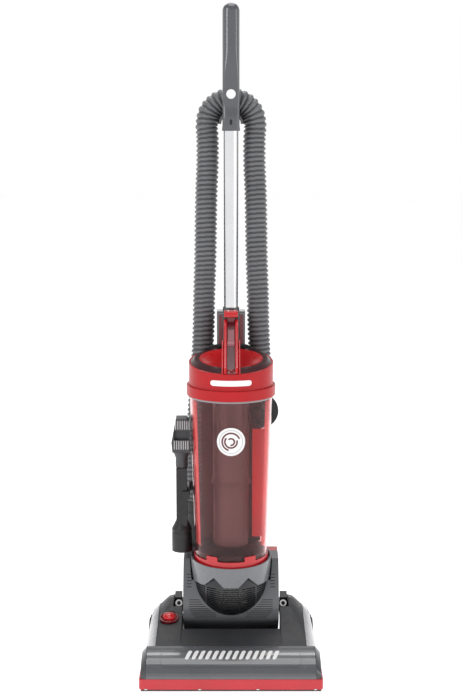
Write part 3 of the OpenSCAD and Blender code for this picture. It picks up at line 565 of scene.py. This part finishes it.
def on_hood(x0, turn, slant=0.0):
    """turn is the angle forward from the top of the hood, in degrees; v runs up the surface."""
    def place(u, v, w):
        t = math.radians(turn) - v / HOOD_ARC_RADIUS
        return metres(x0 + u + slant * v, HOOD_AXIS_Y - (HOOD_REACH + w) * math.sin(t),
                      HOOD_AXIS_Z + (HOOD_RISE + w) * math.cos(t))
    return place


def on_front(x0, y0, z0):
    """Flat face that looks forward."""
    def place(u, v, w):
        return metres(x0 + u, y0 - w, z0 + v)
    return place


# ---------- grip and hose saddle ----------

GRIP_NECK_Z = 930
GRIP_TOP_Z = 1068
DOME_Z = 1054
DOME_RADIUS = 14
SADDLE_Z = 874


def ease(t):
    t = max(0.0, min(1.0, t))
    return t * t * (3 - 2 * t)


def grip_ring(z, sides=56):
    """Cross-section of the grip: squarish at the collar, oval in the hand, domed at the top."""
    back = 95 + 8 * ease((z - GRIP_NECK_Z) / (GRIP_TOP_Z - GRIP_NECK_Z))
    deep = 10.5 + 2 * ease((z - GRIP_NECK_Z) / 60) + 4 * ease((900 - z) / 14)
    wide = DOME_RADIUS + 0.7 * ease((872 - z) / 7)
    if z > DOME_Z:
        wide = math.sqrt(max(0.0, DOME_RADIUS ** 2 - (z - DOME_Z) ** 2))
        deep = deep * math.sqrt(max(0.0, 1 - ((z - DOME_Z) / DOME_RADIUS) ** 2))
    power = 5.0 - 2.7 * ease((z - 925) / 70)
    ring = []
    for k in range(sides):
        a = 2 * math.pi * k / sides
        c, s = math.cos(a), math.sin(a)
        x = math.copysign(abs(c) ** (2 / power), c) * wide
        y = math.copysign(abs(s) ** (2 / power), s) * deep
        ring.append(metres(x, back + y, z))
    return ring


def make_grip():
    """Grip, the half-round saddle that the hose hangs over, and the print on the grip's front."""
    heights = [863, 863.6, 866, 872, 880] + list(range(890, 1050, 8)) + [DOME_Z]
    heights += [DOME_Z + DOME_RADIUS * math.sin(math.radians(a)) for a in range(8, 90, 8)]
    heights.append(GRIP_TOP_Z - 0.05)
    verts, faces = closed_strip([grip_ring(z) for z in heights])
    grip = mesh_piece("grip_body", verts, faces, "handle", "upright")
    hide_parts("handle_grip")
    profile = [(16, 104), (20, 104), (20, 144), (21, 144.5), (27.4, 144.5), (28, 145.2), (28, 147.8),
               (27.4, 148.5), (16, 148.5)]
    saddle = turned("hose_saddle", profile, lambda a, b, h: metres(a, h, SADDLE_Z + b), "handle", "upright",
                    80, 180)
    badge = on_front(0, 84.2, 922)
    arc_band("grip_badge", 0.05, 7.4, 0, 360, badge, "white", "upright", 0.7)
    arc_band("grip_badge_edge", 7.4, 8.0, 0, 360, badge, "grey_line", "upright", 0.5)
    bar("grip_recess", 9, 4, lambda u, v, w: on_front(0, 80.5, 877)(v, u, w), "slot", "upright", 0.25)


# ---------- lid and carry handle ----------

UPPER = [(-47, 485), (-44, 494), (-20, 510), (0, 522.5), (20, 535.5), (40, 548), (54, 555.6), (77, 555.8)]
LOWER = [(-33, 485), (-27, 487.5), (-8, 499), (10, 510), (27, 521.5), (44, 533), (57, 540), (66, 536),
         (66, 505), (77, 508)]


CHEEK_SPAN = (6.6, 12)
FIN_SPAN = (12.9, 14.7)


def carry_outline(drop=0.0):
    """Side view of the carry handle, with its upper edge lowered by drop."""
    return [(y + drop * 0.35, z - drop) for y, z in UPPER] + list(reversed(LOWER))


def make_carry_handle():
    """Two red cheeks with fins round a dark channel, the release dome in front of them, and the lid's bar."""
    fin = [(-48.5, 485), (-47, 493), (-30, 505), (-8, 519), (8, 530.5), (12, 530), (14, 520), (-2, 505),
           (-20, 492), (-34, 486)]
    for side, tag in SIDES:
        x = sorted(side * edge for edge in CHEEK_SPAN)
        cheek = side_plate(f"carry_cheek_{tag}", carry_outline(), *x, "red", "lid", 0.0016)
        x = sorted(side * edge for edge in FIN_SPAN)
        side_plate(f"carry_fin_{tag}", fin, *x, "red", "lid", 0.0006)
    channel = side_plate("carry_channel", carry_outline(3.2), -6.9, 6.9, "channel", "lid", 0.0012)
    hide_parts("carry_handle")
    panel = [(10, 522), (10, 528.2), (34, 543.8), (34, 538)]
    side_plate("carry_panel", panel, -5.6, 5.6, "panel_mid", "lid", 0.0006)
    step = [(4, 518), (4, 525), (9.5, 528.6), (9.5, 521)]
    side_plate("carry_step", step, -5.8, 5.8, "maroon_step", "lid", 0.0006)
    profile = [(0.05, 0), (9.5, 0), (9.5, 2.5), (8, 5.4), (5, 7.2), (0.05, 8)]

    def on_lid_front(a, b, h):
        return metres(a, -40.5 + b * 0.9, 485 + h)
    turned("bin_release_dome", profile, on_lid_front, "red_dark", "lid", 40)
    bar("lid_bar", 68, 9, on_band(470), "white", "lid", columns=36)


def make_latch_pad():
    """Thumb pad of the lid's latch, on its stem."""
    outline = [(57, 560.3), (56.6, 564), (58, 568.6), (61, 570.4), (75, 570.5), (77, 568.5), (77, 560.3)]
    pad = side_plate("latch_pad", outline, -11.4, 11.4, "red", "latch", 0.0022)
    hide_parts("bin_latch")
    stem = [(59, 546), (59, 561), (72.5, 561), (72.5, 546)]
    side_plate("latch_stem", stem, -6, 6, "red_dark", "latch", 0.0008)


def make_pedal_spring():
    """Coil under the power pedal, built at one length; the real one is squeezed as the pedal goes down, this
    one is not.
    """
    turns, steps, sides = 4, 20, 8
    coil, wire, rise = 3.6, 0.5, 9.6
    rings = []
    for i in range(turns * steps + 1):
        a = 2 * math.pi * i / steps
        out = Vector((math.cos(a), math.sin(a), 0))
        centre = Vector((70, 98, 126.6 + rise * i / (turns * steps))) + coil * out
        ring = []
        for k in range(sides):
            b = 2 * math.pi * k / sides
            ring.append((centre + wire * (math.cos(b) * out + math.sin(b) * Vector((0, 0, 1)))) / 1000)
        rings.append(ring)
    verts, faces = closed_strip(rings)
    spring = mesh_piece("coil_spring", verts, faces, "steel", "upright")
    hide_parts("pedal_spring")
    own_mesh(spring)


# ---------- bin ----------

def make_bin_marks():
    """Round white badge with a plain swirl."""
    badge = on_bin(375)
    arc_band("bin_badge", 0.05, 21.5, 0, 360, badge, "white", "bin")
    arc_band("bin_badge_edge", 21.5, 23, 0, 360, badge, "white", "bin", 0.7)
    arc_band("bin_badge_line", 18.6, 19.2, 0, 360, badge, "grey_line", "bin", 0.6)
    for i, (r, start) in enumerate(((14.2, 20), (9.8, 140), (5.4, 260))):
        arc_band(f"bin_swirl_{i}", r - 1.3, r + 1.3, start, start + 235, badge, "maroon_line", "bin", 0.7)


def on_bin_axis(a, b, h):
    """Place for pieces turned about the bin's own axis."""
    return metres(a, BIN_AXIS_Y + b, h)


def make_bin_liner(tag, start):
    """Red skin close behind the bin's wall, over 24 degrees from start."""
    steps, degrees_each = 12, 2
    rings = []
    for i in range(steps + 1):
        a = math.radians(start + degrees_each * i)
        edge = []
        for r, z in ((56, 192), (56.6, 192), (63.2, 434), (62.6, 434)):
            edge.append(metres(r * math.sin(a), BIN_AXIS_Y - r * math.cos(a), z))
        rings.append(edge)
    verts, faces = closed_strip(rings)
    mesh_piece(f"bin_liner_{tag}", verts, faces, "panel_red", "bin")


def make_bin_insides():
    """Inlet sleeve, sealing rim, dark screens of painted shade and red liners behind the wall, filter tube
    and floor ring.
    """
    sleeve = [(12.5, 24), (15.2, 24), (15.2, 75), (12.5, 75)]
    turned("inlet_sleeve", sleeve, lambda a, b, h: metres(50 + a, h, 399 + b), "black", "bin", 40)
    seal = [(67.5, 437.2), (69.2, 437.6), (69.2, 440.4), (67.5, 440.8)]
    turned("bin_seal", seal, lambda a, b, h: metres(-b, BIN_AXIS_Y - a, h), "grey_line", "bin", 96)
    # Dark sheets inside the bin, behind its axis at either side: painted shade seen through the front wall.
    screen = [(44, 184), (44, 436), (44.8, 436), (44.8, 184)]
    for tag, x0, x1 in (("l", -49, -18), ("r", 18, 50)):
        side_plate(f"bin_shade_screen_{tag}", screen, x0, x1, "maroon_painted_shade", "bin", 0.0002)
    column = [(28, 187.5), (29.4, 187.5), (29.4, 443), (28, 443)]
    turned("cyclone_tube", column, on_bin_axis, "shroud", "lid")
    for tag, start in (("l", -84), ("r", 60)):
        make_bin_liner(tag, start)
    floor_ring = [(31, 174.5), (56, 174.5), (56, 181), (46, 188), (31, 190)]
    turned("bin_floor_ring", floor_ring, on_bin_axis, "slot", "bin")


# ---------- hose cuffs ----------

def make_cuffs():
    """Collars that hold the hose's two ends."""
    wall = [(19.1, 0), (21, 0), (21.6, 1), (21.6, 5), (20.8, 6), (20.8, 22), (20.2, 24), (19.1, 24)]
    for tag, x, z, up in (("low", -58, 214, 1), ("top", 50, 464, -1)):
        def place(a, b, h, x=x, z=z, up=up):
            return metres(x + a, 106 + b, z + up * h)
        turned(f"hose_cuff_{tag}", wall, place, "black", "upright")


# ---------- nozzle head details ----------

# YOKE_FRONT holds (z, y) of the housing's front; STATIONS hold (y, z) of the head's shoulder line.
YOKE_FRONT = [(60, -7), (70, -14), (86, -15), (104, -11), (123, -3), (142, 7)]
STATIONS = [(-94, 53), (-20, 60), (20, 67), (48, 67), (86, 58)]


def along(pairs, at):
    """Value at a place on a line through (place, value) pairs."""
    for (p0, v0), (p1, v1) in zip(pairs, pairs[1:]):
        if at <= p1:
            return v0 + (v1 - v0) * (at - p0) / (p1 - p0)
    return pairs[-1][1]


STRIPES = 14
STRIPE_PITCH = 10.6
FIRST_STRIPE_X = -67


def make_hood_marks():
    """Slanted print on the hood, its seams, and the small notches at the bumper's foot."""
    for i in range(STRIPES):
        def stripe(u, v, w, x=FIRST_STRIPE_X + i * STRIPE_PITCH):
            return on_hood(x, 29, 0.35)(v, u, w)
        bar(f"hood_stripe_{i}", 19, 6.2, stripe, "white", "root", 0.35, 24)
    for side, tag in SIDES:
        def seam(u, v, w, side=side):
            return on_hood(side * 110 + v, 36)(0, u, w)
        bar(f"hood_seam_{tag}", 36, 0.9, seam, "cap", "root", 0.12, 24)
    bar("hood_seam_low", 214, 0.9, on_hood(0, 59), "cap", "root", 0.12, 40)
    for i, x in enumerate((-133, -49, 42, 132)):
        bar(f"bumper_notch_{i}", 4.4, 2.2, on_front(x, -149.9, 3.9), "white", "root", 0.1, 10)


def make_screw_sockets():
    """Painted shadow in the sockets of the two pivot screws' heads, which face forward and up."""
    lean = math.radians(70)
    for side, tag in SIDES:
        def place(u, v, w, side=side):
            out = 11.5 + w
            return metres(side * 88 + u, 51 + v * math.cos(lean) - out * math.sin(lean),
                          71.5 + v * math.sin(lean) + out * math.cos(lean))
        arc_band(f"screw_socket_{tag}", 0.05, 3.3, 0, 360, place, "slot", "root", 0.15, 24)


BOWL_RADIUS = 62.2
BOWL_Z = 126
VENT_X = 69
VENT_TOP_Z = 138
VENT_PITCH = 4.6
LONG_VENT_TOP_Z = 100
LONG_VENT_PITCH = 3.6


def bowl_edge(z):
    """Half-width of the bowl where it comes through the housing's front."""
    behind = BIN_AXIS_Y - along(YOKE_FRONT, z)
    return math.sqrt(max(0.0, BOWL_RADIUS ** 2 - (BOWL_Z - z) ** 2 - behind ** 2))


def make_vents():
    """Short slots high on the housing, and longer ones that start at the edge of the bowl."""
    for side, tag in SIDES:
        for i in range(5):
            z = VENT_TOP_Z - i * VENT_PITCH
            place = on_front(side * VENT_X, along(YOKE_FRONT, z), z)
            bar(f"vent_{tag}_{i}", 8, 1.5, place, "slot", "upright", 0.25, 10)
        for i in range(9):
            z = LONG_VENT_TOP_Z - i * LONG_VENT_PITCH
            inner = max(bowl_edge(z) + 5, 24)
            outer = VENT_X - max(0, i - 5) * 3
            place = on_front(side * (inner + outer) / 2, along(YOKE_FRONT, z), z)
            bar(f"long_vent_{tag}_{i}", outer - inner, 1.1, place, "slot", "upright", 0.2, 12)


ARCH_Y = 56
ARCH_Z = 22
ARCH_RADIUS = 26.6
TRIM_FOOT = 10


def trim_line(side, y, rows):
    """Points up the side of the head at one depth, from its foot or the wheel arch to the shoulder."""
    edge = along(STATIONS, y)
    near = ARCH_RADIUS ** 2 - (y - ARCH_Y) ** 2
    low = ARCH_Z + math.sqrt(near) if near > (ARCH_Z - TRIM_FOOT) ** 2 else TRIM_FOOT
    side_line = [(10, 137.2), (36, 137.5), (edge - 8.2, 131.9), (edge + 1.1, 121.3)]
    points = []
    for k in range(rows + 1):
        z = low + (edge + 1.1 - low) * k / rows
        points.append(metres(side * along(side_line, z), y, z))
    return points


def make_side_trims():
    """Silver sheet over each bowed side of the head, cut away round the wheel arch."""
    columns, rows = 46, 10
    for side, tag in SIDES:
        verts = []
        for i in range(columns + 1):
            verts += trim_line(side, -94 + 180 * i / columns, rows)
        faces = []
        for i in range(columns):
            for k in range(rows):
                a = i * (rows + 1) + k
                face = (a, a + rows + 1, a + rows + 2, a + 1)
                faces.append(face if side > 0 else face[::-1])
        trim = mesh_piece(f"side_trim_{tag}", verts, faces, "silver", "root")
        shell = trim.modifiers.new("shell", "SOLIDIFY")
        shell.thickness = 0.0012
        shell.offset = -1


SOCKET_FRONT_Y = 82.2
SOCKET_MID_Z = 536


def make_socket_trim():
    """Dark red flanks and thin grey edges on the front of the tube's socket."""
    for side, tag in SIDES:
        def flank(u, v, w, side=side):
            return on_front(side * 17.2, SOCKET_FRONT_Y, SOCKET_MID_Z)(v, u, w)

        def outline(u, v, w, side=side):
            return on_front(side * 21.6, SOCKET_FRONT_Y, SOCKET_MID_Z)(v, u, w)
        bar(f"socket_flank_{tag}", 50, 5.6, flank, "red_dark", "upright", 0.4, 16)
        bar(f"socket_line_{tag}", 56, 0.7, outline, "grey_line", "upright", 0.4, 16)
    bar("socket_top_line", 40, 0.7, on_front(0, SOCKET_FRONT_Y, 563.5), "grey_line", "upright", 0.4, 16)


# ---------- dusting head ribs ----------

TOOL_RIBS = 7
TOOL_RIB_X = -93
TOOL_RIB_PITCH = 3.7
TOOL_FRONT_Y = 20


def make_tool_ribs():
    """Pale ribs over the two ends of the dusting head; the upper row sits a little to the right."""
    for row, (z, shift) in enumerate(((387.5, 2.2), (354, 0))):
        for i in range(TOOL_RIBS):
            def rib(u, v, w, x=TOOL_RIB_X + i * TOOL_RIB_PITCH + shift, z=z):
                return on_front(x, TOOL_FRONT_Y, z)(v, u, w)
            bar(f"brush_rib_{row}_{i}", 15, 1.5, rib, "ribs", "duster", 0.9, 10)


# ---------- build ----------

# Edge widths in metres for the CAD nodes whose edges are rounded.
BEVELS = {
    "base_cover": 0.002, "nozzle_end_caps": 0.002, "front_bumper": 0.0012, "yoke_shell": 0.0035,
    "yoke_rear_cover": 0.002, "motor_cup": 0.0008, "socket_block": 0.003, "spine_back": 0.002,
    "spine_front": 0.0012, "lid_ring": 0.0009, "lid_rim": 0.001,
    "bin_door": 0.0008, "crevice_tool": 0.0012, "dusting_tool": 0.0012, "power_pedal": 0.0025,
    "recline_pedal": 0.002, "lower_cord_hook": 0.0015, "upper_cord_hook": 0.0015, "pivot_clamps": 0.0012,
    "left_tyre": 0.003, "right_tyre": 0.003, "left_wheel": 0.001, "right_wheel": 0.001, "hose_port": 0.0012,
    "hose_elbow": 0.001, "tool_clip": 0.001, "sole_plate": 0.0008, "height_knob": 0.001,
    "knob_bezel": 0.0006,
}

MATERIALS = all_materials()
make_camera()
make_light()
make_floor()
for material, names in MATERIAL_OF.items():
    for name in names:
        dress(NODES[name], MATERIALS[material])
make_hose()
make_grip()
make_carry_handle()
make_latch_pad()
make_pedal_spring()
make_bin_marks()
make_bin_insides()
make_cuffs()
make_hood_marks()
make_screw_sockets()
make_vents()
make_side_trims()
make_socket_trim()
make_tool_ribs()

for name, width in BEVELS.items():
    soften(name, width)
